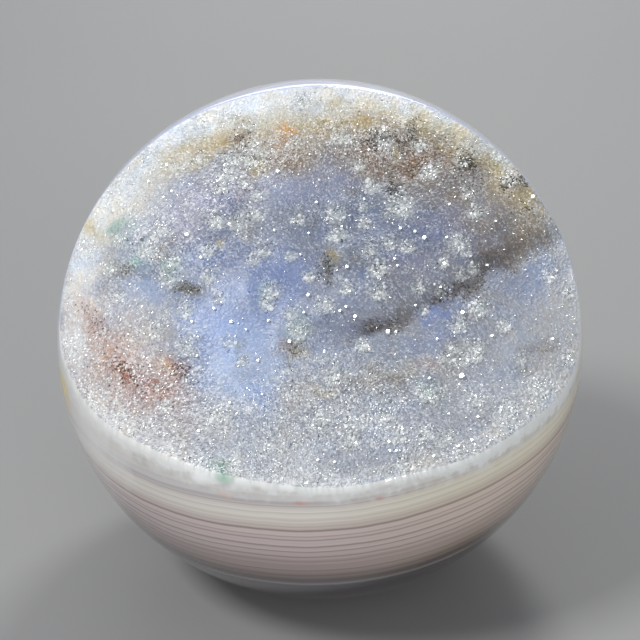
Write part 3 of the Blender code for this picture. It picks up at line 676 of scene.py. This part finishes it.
# Level layers, laid down one on the other: the way they face, and their middle heights over the
# ball's centre in millimetres, with their colours, from the top down to the flat. From -9.5 mm down
# to -18.8 mm they darken towards the foot, a painted shade of the underside, which faces the floor;
# below that they are lighter again.
BAND_AXIS = np.array((-0.072, -0.13, 0.99))
LAYERS_WITH_FOOT_SHADE = ((5.0, linear(226, 234, 255)), (2.5, linear(216, 215, 211)), (0.9, linear(214, 213, 210)),
          (-0.3, linear(212, 210, 212)), (-0.9, linear(224, 219, 214)), (-1.3, linear(238, 236, 229)),
          (-2.8, linear(230, 225, 217)), (-3.6, linear(219, 208, 202)), (-4.6, linear(228, 214, 212)),
          (-7.0, linear(217, 203, 202)), (-9.5, linear(197, 181, 179)), (-11.6, linear(168, 153, 149)),
          (-13.4, linear(106, 96, 93)), (-13.9, linear(106, 99, 98)), (-14.4, linear(150, 147, 150)),
          (-14.9, linear(90, 88, 93)), (-17.0, linear(75, 73, 79)), (-18.8, linear(76, 73, 78)),
          (-20.5, linear(132, 122, 120)), (-22.5, linear(182, 169, 166)), (-28.7, linear(180, 167, 163)))
# Thin dark lines between layers: the middle, half the thickness and the strength of each
LINE_BROWN = linear(96, 82, 78)
LINES = (
    (-0.3, 0.25, 0.12), (-0.64, 0.11, 0.6), (-1.55, 0.12, 0.25), (-3.45, 0.12, 0.3), (-4.05, 0.26, 1.0),
    (-4.95, 0.18, 0.5), (-5.5, 0.22, 0.85), (-6.6, 0.22, 0.7), (-7.45, 0.2, 0.75), (-8.4, 0.2, 0.7),
    (-9.3, 0.18, 0.6), (-10.1, 0.18, 0.5), (-11.1, 0.22, 0.7), (-12.3, 0.24, 0.8), (-13.75, 0.3, 0.9),
    (-20.9, 0.25, 0.6), (-22.6, 0.3, 0.6), (-24.5, 0.3, 0.5),
)
LINE_SPLIT = -8.9                       # lines above and below here have a ramp each
# The milky rind under the druse: how deep it goes in millimetres, and its colours up the ball
RIND_DEPTH = 1.7
RIND_MIDDLE = 0.003                     # it is deepest here, and thins by this much a metre aside
RIND_THINNING = 18.0
MILK = ((0.0, linear(229, 231, 230)), (5.0, linear(228, 229, 226)), (9.0, linear(212, 219, 236)),
        (13.0, linear(206, 214, 240)))
# Small inclusions near the skin, and streaks of painted light at its edges: the yellow one at the
# left edge is painted refracted light and the two at the right edge are painted reflections. For
# each: x and y in the photo, half their breadth and height in millimetres, their strength and colour
INCLUSIONS_AND_LIGHT_STREAKS = (
    (92, 436, 7.0, 5.0, 0.75, linear(236, 234, 232)), (300, 503, 0.8, 0.3, 0.5, linear(214, 140, 124)),
    (379, 498, 0.5, 0.25, 0.5, linear(206, 140, 126)), (225, 495, 0.9, 0.3, 0.4, linear(224, 172, 140)),
    (200, 477, 1.5, 0.8, 0.8, linear(252, 253, 253)), (223, 477, 1.1, 0.8, 0.8, linear(140, 182, 160)),
    # (65.7, 387): yellow painted refracted light at the ball's left edge.
    (65.7, 387, 2.8, 2.8, 0.85, linear(246, 212, 76)), (66, 345, 4.0, 2.2, 0.9, linear(250, 250, 250)),
    # At the right edge: painted reflections, brown and pale.
    (572, 405, 3.0, 3.2, 0.5, linear(176, 132, 92)), (569, 425, 2.0, 3.0, 0.5, linear(240, 236, 224)),
)


def set_sockets(shader, values):
    """Sets a shader's own sockets, by their names."""
    for name, value in values.items():
        shader.inputs[name].default_value = value


def maths(tree, kind, *values):
    """A Math node of a kind, fed by numbers or sockets, and its result."""
    node = tree.nodes.new("ShaderNodeMath")
    node.operation = kind
    for place, value in enumerate(values):
        if isinstance(value, (int, float)):
            node.inputs[place].default_value = value
        else:
            tree.links.new(value, node.inputs[place])
    return node.outputs[0]


def vector_maths(tree, kind, place, by=(0.0, 0.0, 0.0)):
    """A Vector Math node of a kind, fed by a socket and a fixed vector."""
    node = tree.nodes.new("ShaderNodeVectorMath")
    node.operation = kind
    node.inputs[1].default_value = by
    tree.links.new(place, node.inputs[0])
    return node


def ramp(tree, value, stops):
    """A colour ramp over a value. Its stops are pairs of a value and a colour, and it runs from the
    lowest to the highest."""
    stops = sorted(stops, key=lambda stop: stop[0])
    low, high = stops[0][0], stops[-1][0]
    spread = tree.nodes.new("ShaderNodeMapRange")
    spread.inputs["From Min"].default_value = low
    spread.inputs["From Max"].default_value = high
    tree.links.new(value, spread.inputs["Value"])
    node = tree.nodes.new("ShaderNodeValToRGB")
    elements = node.color_ramp.elements
    for place, (at, colour) in enumerate(stops):
        where = (at - low) / (high - low)
        element = elements[place] if place < 2 else elements.new(where)
        element.position = where
        element.color = (*colour, 1.0)
    tree.links.new(spread.outputs["Result"], node.inputs["Fac"])
    return node.outputs["Color"]


def mix(tree, blend, share, first, second):
    """A colour mix of a blend type, with its share a number or a socket."""
    node = tree.nodes.new("ShaderNodeMix")
    node.data_type = "RGBA"
    node.blend_type = blend
    for socket, value in ((node.inputs[0], share), (node.inputs[6], first), (node.inputs[7], second)):
        if isinstance(value, (int, float)):
            socket.default_value = value
        elif isinstance(value, (tuple, list, np.ndarray)):
            socket.default_value = (*value, 1.0)
        else:
            tree.links.new(value, socket)
    return node.outputs[2]


def noise(tree, place, scale, detail, dimensions="3D"):
    """A Noise texture at a place or along a value, and its value."""
    node = tree.nodes.new("ShaderNodeTexNoise")
    node.noise_dimensions = dimensions
    node.inputs["Scale"].default_value = scale
    node.inputs["Detail"].default_value = detail
    tree.links.new(place, node.inputs["W" if dimensions == "1D" else "Vector"])
    return node.outputs["Fac"]


def swing(tree, value, noise_value, reach):
    """A value moved to and fro by a noise: plus the noise less a half, times a reach."""
    shift = maths(tree, "MULTIPLY", maths(tree, "SUBTRACT", noise_value, 0.5), reach)
    return maths(tree, "ADD", value, shift)


def grey(value):
    """A grey, as light, for a ramp's stop."""
    return (value, value, value)


def layer_level(tree, places, ripple):
    """Height of the skin's places along the layers' way, over the ball's centre and in
    millimetres, moved by a slow sway and by the ripple."""
    size = float(np.linalg.norm(BAND_AXIS))
    along = vector_maths(tree, "DOT_PRODUCT", places, BAND_AXIS / size * 1000).outputs["Value"]
    level = maths(tree, "SUBTRACT", along, CENTRE * 1000 * BAND_AXIS[2] / size)
    level = swing(tree, level, noise(tree, places, 70.0, 2.0), 0.9)
    return swing(tree, level, ripple, 0.16)


def line_share(tree, level):
    """Strength of the dark lines at a level: peaks in two ramps, as one ramp holds 32 stops."""
    marks = [(LAYERS_WITH_FOOT_SHADE[0][0], grey(0)), (LAYERS_WITH_FOOT_SHADE[-1][0], grey(0))]
    for middle, half, strength in LINES:
        marks += [(middle - half, grey(0)), (middle, grey(strength)), (middle + half, grey(0))]
    split = [(LINE_SPLIT, grey(0))]
    above = [mark for mark in marks if mark[0] > LINE_SPLIT] + split
    below = [mark for mark in marks if mark[0] < LINE_SPLIT] + split
    return mix(tree, "ADD", 1.0, ramp(tree, level, above), ramp(tree, level, below))


def layered_colour(tree, level, across):
    """Colour of the layers at a level, with the painted shade low on the ball: fine streaks and a
    tone from side to side multiply it, and the dark lines are mixed over it."""
    streaks = ramp(tree, noise(tree, level, 1.7, 3.0, "1D"), [(0.3, (0.8, 0.77, 0.76)), (0.7, grey(1))])
    tones = [(-0.03, grey(1)), (-0.018, (0.9, 0.89, 0.89)), (0.0, (1, 0.98, 0.97)),
             (0.014, (0.94, 0.92, 0.82)), (0.03, (0.96, 0.92, 0.78))]
    colour = mix(tree, "MULTIPLY", 1.0, ramp(tree, level, LAYERS_WITH_FOOT_SHADE), streaks)
    colour = mix(tree, "MULTIPLY", 1.0, colour, ramp(tree, across, tones))
    return mix(tree, "MIX", maths(tree, "MULTIPLY", line_share(tree, level), 0.68), colour, LINE_BROWN)


def under_rind(tree, colour, level, across, places):
    """A colour with the milky rind over it. It fades with the depth under the druse, at a ragged
    border and sooner to the sides, and high on the ball a grey line runs along its edge."""
    depth = tree.nodes.new("ShaderNodeAttribute")
    depth.attribute_name = "depth"
    depth = depth.outputs["Fac"]
    ragged = swing(tree, depth, noise(tree, places, 900.0, 4.0), 2.4)
    aside = maths(tree, "ABSOLUTE", maths(tree, "SUBTRACT", across, RIND_MIDDLE))
    ragged = maths(tree, "SUBTRACT", ragged, maths(tree, "MULTIPLY", aside, RIND_THINNING))
    fade = [(0.0, grey(1)), (0.5, grey(0.95)), (0.85, grey(0.45)), (RIND_DEPTH, grey(0))]
    crest = [(0.0, grey(1)), (0.2, grey(1)), (0.3, grey(0.62)), (0.42, grey(0.95)), (0.6, grey(0.95))]
    high = ramp(tree, level, [(4.0, grey(0)), (10.0, grey(1))])
    milk = mix(tree, "MULTIPLY", high, ramp(tree, level, MILK), ramp(tree, depth, crest))
    return mix(tree, "MIX", ramp(tree, ragged, fade), colour, milk)


def skin_place(x, y):
    """The place on the ball that appears at a pixel of the photo, where the eye's ray meets it."""
    right = (x - MIDDLE_PIXEL[0]) / FOCAL_PIXELS
    rise = (MIDDLE_PIXEL[1] - y) / FOCAL_PIXELS
    ray = np.array((right, rise * math.sin(EYE_TILT) + math.cos(EYE_TILT),
                    rise * math.cos(EYE_TILT) - math.sin(EYE_TILT)))
    ray /= np.linalg.norm(ray)
    start = EYE - np.array((0, 0, CENTRE))
    along = -start @ ray - math.sqrt(max((start @ ray) ** 2 - start @ start + BALL ** 2, 0.0))
    return EYE + along * ray


def with_skin_spot(tree, colour, places, ripple, skin_spot):
    """A colour with a spot mixed in, an inclusion or a streak of painted light: its strength falls
    from its middle to its oval rim, which the ripple makes uneven."""
    x, y, breadth, height, strength, ink = skin_spot
    shift = vector_maths(tree, "SUBTRACT", places, skin_place(x, y)).outputs[0]
    stretch = vector_maths(tree, "DIVIDE", shift, (breadth / 1000, breadth / 1000, height / 1000)).outputs[0]
    away = vector_maths(tree, "LENGTH", stretch).outputs["Value"]
    away = maths(tree, "ADD", away, maths(tree, "SUBTRACT", ripple, 0.5))
    share = ramp(tree, away, [(0.0, grey(strength)), (0.6, grey(0.7 * strength)), (1.2, grey(0))])
    return mix(tree, "MIX", share, colour, ink)


def polished_chalcedony():
    """The skin: layers and lines with painted shade towards the foot, the rind under the druse,
    inclusions and streaks of painted light at the edges, polished.
    """
    material, tree, shader = new_material("polished chalcedony")
    places = tree.nodes.new("ShaderNodeTexCoord").outputs["Object"]
    split = tree.nodes.new("ShaderNodeSeparateXYZ")
    tree.links.new(places, split.inputs[0])
    across = split.outputs["X"]
    ripple = noise(tree, places, 420.0, 2.0)
    level = layer_level(tree, places, ripple)
    colour = under_rind(tree, layered_colour(tree, level, across), level, across, places)
    # Inclusions, and the painted refracted light and reflections at the ball's edges
    for skin_spot in INCLUSIONS_AND_LIGHT_STREAKS:
        colour = with_skin_spot(tree, colour, places, ripple, skin_spot)
    tree.links.new(colour, shader.inputs["Base Color"])
    set_sockets(shader, {"Roughness": 0.09, "IOR": 1.54, "Coat Weight": 0.5, "Coat Roughness": 0.03,
                         "Subsurface Weight": 0.15, "Subsurface Radius": (1.0, 0.9, 0.85),
                         "Subsurface Scale": 0.0006})
    return material


def quartz_druse():
    """The crust: each face's stain, dulled and made grainy by a fine noise, with a matt sheen."""
    material, tree, shader = new_material("quartz druse")
    stain = tree.nodes.new("ShaderNodeVertexColor")
    stain.layer_name = "stain"
    places = tree.nodes.new("ShaderNodeTexCoord").outputs["Object"]
    grain = ramp(tree, noise(tree, places, 2600.0, 2.0), [(0.35, (0.78, 0.78, 0.785)), (0.65, grey(0.88))])
    ground = mix(tree, "MULTIPLY", 1.0, stain.outputs["Color"], grain)
    tree.links.new(ground, shader.inputs["Base Color"])
    set_sockets(shader, {"Roughness": 0.42, "IOR": 1.54, "Subsurface Weight": 0.15,
                         "Subsurface Radius": (1.0, 1.0, 1.0), "Subsurface Scale": 0.0004})
    return material


stone.data.materials.append(quartz_druse())
stone.data.materials.append(polished_chalcedony())
stone.data.polygons.foreach_set("material_index", is_skin.astype(np.int32))
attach(stone, "root")
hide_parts("druzy_agate")


# THE SUGAR OF CRYSTALS
# Fine quartz points that stand out of the crust all over the druse, where they grew. Most of them
# are frosted or milky, and some are clear as glass.
SUGAR_COUNT = 66000                     # places tried, and kept more often where it is lively
SUGAR_RADIUS = 0.00013
SUGAR_TILT = 0.38
FOOT_DEPTH = 0.35                       # of a crystal's radius, sunk in the crust
UNEVENNESS = 0.18


def ground_frame(across, up, step=0.0001):
    """Places on the druse's ground and its upright there, from small steps to each side."""
    place = np.stack([across, up, face_height(across, up)], axis=-1)
    slope_across = (face_height(across + step, up) - face_height(across - step, up)) / (2 * step)
    slope_up = (face_height(across, up + step) - face_height(across, up - step)) / (2 * step)
    upright = np.stack([-slope_across, -slope_up, np.ones(len(across))], axis=-1)
    return place, upright / np.linalg.norm(upright, axis=1)[:, None]


def six_corners(axis, way):
    """Corners of a hexagon of radius 1 around each axis: cosines of six even turns along one side,
    at right angles to the axis and to a given way, and their sines along the other side."""
    side = np.cross(axis, way)
    side /= np.linalg.norm(side, axis=1)[:, None]
    other = np.cross(axis, side)
    turn = np.arange(6) * math.pi / 3
    return side[:, None, :] * np.cos(turn)[None, :, None] + other[:, None, :] * np.sin(turn)[None, :, None]


def six_sided(shaft, point):
    """Triangles of a six-sided crystal: its foot, its shaft between two rings where it has one, and
    its point or flat top."""
    here = np.arange(6)
    after = (here + 1) % 6
    cap = np.array(((0, 1, 2), (0, 2, 3), (0, 3, 4), (0, 4, 5)))
    shape = [cap[:, ::-1]]
    top = 6 if shaft else 0
    if shaft:
        shape.append(np.stack([here, after, after + 6], axis=-1))
        shape.append(np.stack([here, after + 6, here + 6], axis=-1))
    shape.append(np.stack([here + top, after + top, np.full(6, top + 6)], axis=-1) if point else cap + top)
    return np.concatenate(shape)


def plant(name, corners, shape, tints, finish):
    """Joins crystals of one shape in a mesh on the stone, each with its tint, and finishes it."""
    count, each = corners.shape[:2]
    places = to_world(corners[..., 0].ravel(), corners[..., 1].ravel(), corners[..., 2].ravel())
    faces = (shape[None] + (np.arange(count) * each)[:, None, None]).reshape(-1, 3)
    piece = put_mesh(name, places, faces)
    put_colour(piece, "stain", np.repeat(tints, each, axis=0))
    piece.data.materials.append(finish)
    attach(piece, "root")


def crystals(name, finish, across, up, radius, height, lean, tilt, shaft, random):
    """Six-sided crystals: a foot ring, a smaller shoulder ring where there is a shaft, and a point
    on an axis that leans off the ground's upright by a given and a random tilt."""
    place, upright = ground_frame(across, up)
    count = len(across)
    axis = upright + lean + tilt * random.standard_normal((count, 3))
    axis /= np.linalg.norm(axis, axis=1)[:, None]
    ring = six_corners(axis, random.standard_normal((count, 3)))
    ring = ring * radius[:, None, None] * (1 + UNEVENNESS * random.uniform(-1, 1, (count, 6, 1)))
    foot = place - FOOT_DEPTH * radius[:, None] * upright
    rings = [foot[:, None, :] + ring]
    if shaft:
        rise = (height - 0.75 * radius)[:, None, None] * axis[:, None, :]
        rings.append(foot[:, None, :] + 0.92 * ring + rise)
    point = foot + height[:, None] * axis + 0.2 * radius[:, None] * random.uniform(-1, 1, (count, 3))
    corners = np.concatenate(rings + [point[:, None, :]], axis=1)
    # A crystal beside the ground edge is ground off flush with the ball.
    size = np.linalg.norm(corners, axis=2)
    corners = corners * np.minimum(1.0, (BALL - FLUSH) / size)[:, :, None]
    tints = crystal_tints(druse_look(across, up, random), True, random)
    plant(name, corners, six_sided(shaft, True), tints, finish)


def on_druse(across, up, margin):
    """Whether places lie on the druse, at least a margin inside its edge."""
    return np.hypot(across, up) < rim_distance(np.arctan2(up, across)) - margin


def scattered(first, count):
    """Evenly scattered places on the druse: part of two golden-ratio sequences over a square."""
    number = np.arange(first, first + count)
    across = (np.mod(0.5 + number * 0.7548776662, 1) * 2 - 1) * BALL
    up = (np.mod(0.5 + number * 0.5698402910, 1) * 2 - 1) * BALL
    inside = on_druse(across, up, 0.0002)
    return across[inside], up[inside]


def quartz(name, whiten, roughness, transmission):
    """A quartz material that takes its tint from the crystals, partly whitened."""
    material, tree, shader = new_material(name)
    tint = tree.nodes.new("ShaderNodeVertexColor")
    tint.layer_name = "stain"
    whitened = mix(tree, "MIX", whiten, tint.outputs["Color"], (1, 1, 1))
    tree.links.new(whitened, shader.inputs["Base Color"])
    set_sockets(shader, {"Roughness": roughness, "IOR": 1.544, "Transmission Weight": transmission})
    return material


frosted = quartz("frosted quartz", 0.0, 0.22, 0.0)
milky = quartz("milky quartz", 0.15, 0.12, 0.2)
clear = quartz("clear quartz", 0.6, 0.04, 1.0)

across, up = scattered(0, SUGAR_COUNT)
sparkle = druse_look(across, up, random)[1]
kept = random.uniform(0, 1, len(across)) < 0.02 + 0.8 * sparkle
across, up, sparkle = across[kept], up[kept], sparkle[kept]
coarse = coarseness(across, up)
radius = SUGAR_RADIUS * (0.68 + 0.25 * coarse) * random.lognormal(0.0, 0.3, len(across))
tall = radius * random.uniform(0.4, 0.75 + 1.1 * sparkle, len(across))
chance = random.uniform(0, 1, len(across))
shares = (("sugar_frosted", frosted, chance < 0.55),
          ("sugar_milky", milky, (chance >= 0.55) & (chance < 0.94)),
          ("sugar_clear", clear, chance >= 0.94))
for name, finish, part in shares:
    chosen = across[part], up[part], radius[part], tall[part]
    crystals(name, finish, *chosen, 0.0, SUGAR_TILT, False, random)


# THE WHITE TUFTS
# Coarser milky quartz points, with a shaft under the point, that fan out from one spot of the
# crust as they grew. More of them stand at a tuft's lower rim.
TUFT_CRYSTALS = 2.6                     # for each pixel of a tuft's radius
TUFT_RADIUS = 0.00018
TUFT_TILT = 0.25
TUFT_FAN = 0.55
RIM_SHARE = 0.4


def druse_place(x, y, corrections=15):
    """Places on the druse that appear at given pixels of the photo, found by small corrections."""
    across = (x - MIDDLE_PIXEL[0]) / BALL_PIXELS * BALL
    up = (MIDDLE_PIXEL[1] - y) / BALL_PIXELS * BALL
    for _ in range(corrections):
        seen_x, seen_y = seen_on_druse(across, up)
        across = across + 0.9 * (x - seen_x) / BALL_PIXELS * BALL
        up = up - 0.9 * (y - seen_y) / BALL_PIXELS * BALL
    return across, up


seen = np.array(TUFTS, dtype=float)
number = np.repeat(np.arange(len(seen)), (TUFT_CRYSTALS * seen[:, 2]).astype(int))
at_rim = random.uniform(0, 1, len(number)) < RIM_SHARE
low_turn = random.uniform(-2.7, -0.4, len(number))
turn = np.where(at_rim, low_turn, random.uniform(0, 2 * math.pi, len(number)))
out = np.sqrt(np.where(at_rim, random.uniform(0.6, 1.1, len(number)), random.uniform(0, 1, len(number))))
across, up = druse_place(seen[number, 0] + out * np.cos(turn) * seen[number, 2],
                         seen[number, 1] - out * np.sin(turn) * seen[number, 2])
fan = TUFT_FAN * np.stack([out * np.cos(turn), out * np.sin(turn), np.zeros(len(turn))], axis=-1)
kept = on_druse(across, up, 0.0003)
across, up, fan = across[kept], up[kept], fan[kept]
radius = TUFT_RADIUS * np.minimum(random.lognormal(0.0, 0.3, len(across)), 1.4)
tall = radius * random.uniform(1.0, 1.7, len(across))
chance = random.uniform(0, 1, len(across))
for name, finish, part in (("tufts_milky", milky, chance < 0.97), ("tufts_clear", clear, chance >= 0.97)):
    chosen = across[part], up[part], radius[part], tall[part]
    crystals(name, finish, *chosen, fan[part], TUFT_TILT, True, random)


# THE BRIGHT FACES
# Broad flat faces of single quartz crystals, which grew in the crust and happen to mirror the lamp:
# the large flashes that the photo shows, and fine glints in the lively parts.
GLINT_COUNT = 20000
GLINT_RADIUS = 0.000045
GLINT_RISE = 0.00016
FLASH_RISE = 0.0003
FLASH_SIZE = 0.66                       # of the flash's radius in the photo, as light spreads there
# Single crystals that flash in the photo: x, y and radius
FLASHES = (
    (346, 267, 2.3), (307, 296, 2.2), (345, 307, 2.0), (339, 311, 2.0), (354, 316, 2.6),
    (387, 333, 3.0), (395, 333, 1.8), (289, 341, 2.5), (231, 322, 1.9), (268, 321, 1.6),
    (303, 312, 1.8), (341, 227, 1.6), (308, 234, 1.4), (316, 203, 1.7), (274, 231, 1.7),
    (399, 229, 2.0), (414, 232, 2.0), (423, 238, 3.0), (393, 259, 1.6), (258, 361, 1.7),
    (324, 353, 1.5), (214, 309, 1.9), (201, 258, 2.0), (531, 197, 2.8), (368, 150, 1.7),
    (396, 266, 1.6), (448, 205, 1.4), (494, 221, 1.4), (187, 235, 2.9), (277, 172, 2.3),
    (225, 166, 1.7), (149, 182, 1.8), (172, 192, 1.8), (218, 182, 1.6), (164, 198, 1.6),
    (167, 166, 1.8), (192, 322, 1.7), (197, 356, 1.7), (230, 403, 1.8), (199, 431, 2.0),
    (151, 366, 1.5), (143, 307, 1.5), (461, 313, 3.0), (460, 376, 3.6), (443, 264, 2.6),
    (445, 238, 1.6), (436, 340, 1.8), (485, 265, 1.6), (439, 287, 1.7), (490, 336, 1.8),
    (550, 339, 1.9), (550, 278, 1.6), (428, 379, 1.8), (414, 305, 1.5), (388, 442, 2.1),
    (401, 429, 1.9), (389, 451, 1.7), (395, 451, 1.7), (317, 460, 1.7), (334, 462, 1.6),
    (324, 352, 1.6), (432, 456, 1.9), (470, 440, 2.0), (457, 446, 1.7), (476, 417, 1.6),
    (447, 414, 1.5), (363, 200, 1.4), (300, 255, 1.3), (246, 330, 1.3), (262, 395, 1.3),
)
LAMP_PLACE = np.array((-0.35, -0.25, 0.55))


def flat_crystals(across, up, radius, facing, rise):
    """Corners of broad six-sided crystals: a wider foot ring below the ground, and a ring around a
    flat top that is turned to a given way."""
    place, upright = ground_frame(across, up)
    middle = place + rise[:, None] * upright
    ring = six_corners(facing, np.array((0.3, 0.9, 0.1))) * radius[:, None, None]
    foot = middle[:, None, :] + 1.25 * ring - (1.6 * rise + 0.3 * radius)[:, None, None] * upright[:, None, :]
    return np.concatenate([foot, middle[:, None, :] + ring], axis=1)


def way_to(point, places):
    """Directions of length 1 from places to a point."""
    way = point - places
    return way / np.linalg.norm(way, axis=1)[:, None]


seen = np.array(FLASHES, dtype=float)
flash_across, flash_up = druse_place(seen[:, 0], seen[:, 1])
across, up = scattered(SUGAR_COUNT, GLINT_COUNT)
sparkle = druse_look(across, up, random)[1]
kept = random.uniform(0, 1, len(across)) < 0.2 * sparkle + 0.95 * np.maximum(sparkle - 0.5, 0)
kept = kept & on_druse(across, up, 0.0004)
glints = GLINT_RADIUS * random.lognormal(0.0, 0.25, int(kept.sum()))
across = np.concatenate([flash_across, across[kept]])
up = np.concatenate([flash_up, up[kept]])
radius = np.concatenate([seen[:, 2] / BALL_PIXELS * BALL * FLASH_SIZE, glints])
rise = np.concatenate([np.full(len(seen), FLASH_RISE), np.full(len(glints), GLINT_RISE)])
spot = to_world(across, up, face_height(across, up))
# A flat top flashes where it faces midway between the eye and the lamp.
between = way_to(EYE, spot) + way_to(LAMP_PLACE, spot)
facing = to_face(between / np.linalg.norm(between, axis=1)[:, None])
plant("bright_faces", flat_crystals(across, up, radius, facing, rise), six_sided(True, False),
      np.tile(LIT_WHITE, (len(across), 1)), milky)


# THE TABLE, THE LIGHT AND THE CAMERA
# A pale level table that sweeps up behind, soft lamps, and a camera held as the photo was taken.
TABLE_FRONT = -1.2
TABLE_HALF = 1.5
SWEEP_START = 0.25
SWEEP_RADIUS = 0.25
TABLE_TOP = 1.6
SENSOR = 36.0


def sweep_profile(steps):
    """A table's line from front to back: level, then a quarter circle, then upright."""
    turn = np.linspace(0.0, math.pi / 2, steps)
    y = SWEEP_START + SWEEP_RADIUS * np.sin(turn)
    z = SWEEP_RADIUS - SWEEP_RADIUS * np.cos(turn)
    return np.concatenate([[TABLE_FRONT], y, y[-1:]]), np.concatenate([[0.0], z, [TABLE_TOP]])


line_y, line_z = sweep_profile(24)
half = len(line_y)
left = np.stack([np.full(half, -TABLE_HALF), line_y, line_z], axis=-1)
right = np.stack([np.full(half, TABLE_HALF), line_y, line_z], axis=-1)
low = np.arange(half - 1)
table_faces = np.concatenate([np.stack([low, low + half, low + half + 1], axis=-1),
                              np.stack([low, low + half + 1, low + 1], axis=-1)])
table = put_mesh("table", np.concatenate([left, right]), table_faces)
table.data.polygons.foreach_set("use_smooth", np.ones(len(table_faces), dtype=bool))
plaster, tree, shader = new_material("pale table")
set_sockets(shader, {"Base Color": (0.27, 0.27, 0.27, 1), "Roughness": 0.7})
table.data.materials.append(plaster)


def lamp(name, place, aim, breadth, power):
    """A soft square lamp at a place, turned towards a point."""
    data = bpy.data.lights.new(name, "AREA")
    data.size = breadth
    data.energy = power
    light = bpy.data.objects.new(name, data)
    bpy.context.scene.collection.objects.link(light)
    light.location = place
    away = np.array(place) - np.array(aim)
    pitch = math.atan2(math.hypot(away[0], away[1]), away[2])
    light.rotation_euler = (pitch, 0.0, math.atan2(away[0], -away[1]))


lamp("key", tuple(LAMP_PLACE), (0, 0, 0.03), 0.16, 2.92)
lamp("fill", (0.27, -0.54, 0.15), (0, 0, 0.025), 0.2, 1.15)
lamp("back", (0.1, 0.35, 0.45), (0, 0, 0.05), 0.12, 1.2)
lamp("low back", (0.0, 0.46, 0.2), (0, 0, 0.05), 0.36, 0.7)
world = bpy.data.worlds.new("studio")
bpy.context.scene.world = world
world.use_nodes = True
set_sockets(world.node_tree.nodes["Background"], {"Color": (0.9, 0.94, 1.0, 1), "Strength": 0.435})
bpy.context.scene.view_settings.view_transform = "Standard"

aim_up = math.atan((MIDDLE_PIXEL[1] - PHOTO_PIXELS / 2) / FOCAL_PIXELS)
camera_data = bpy.data.cameras.new("camera")
camera_data.sensor_width = SENSOR
camera_data.lens = SENSOR * FOCAL_PIXELS / PHOTO_PIXELS
camera_data.clip_start = 0.005
camera = bpy.data.objects.new("camera", camera_data)
bpy.context.scene.collection.objects.link(camera)
camera.location = EYE
camera.rotation_euler = (math.pi / 2 - EYE_TILT + aim_up, 0.0, 0.0)
bpy.context.scene.camera = camera
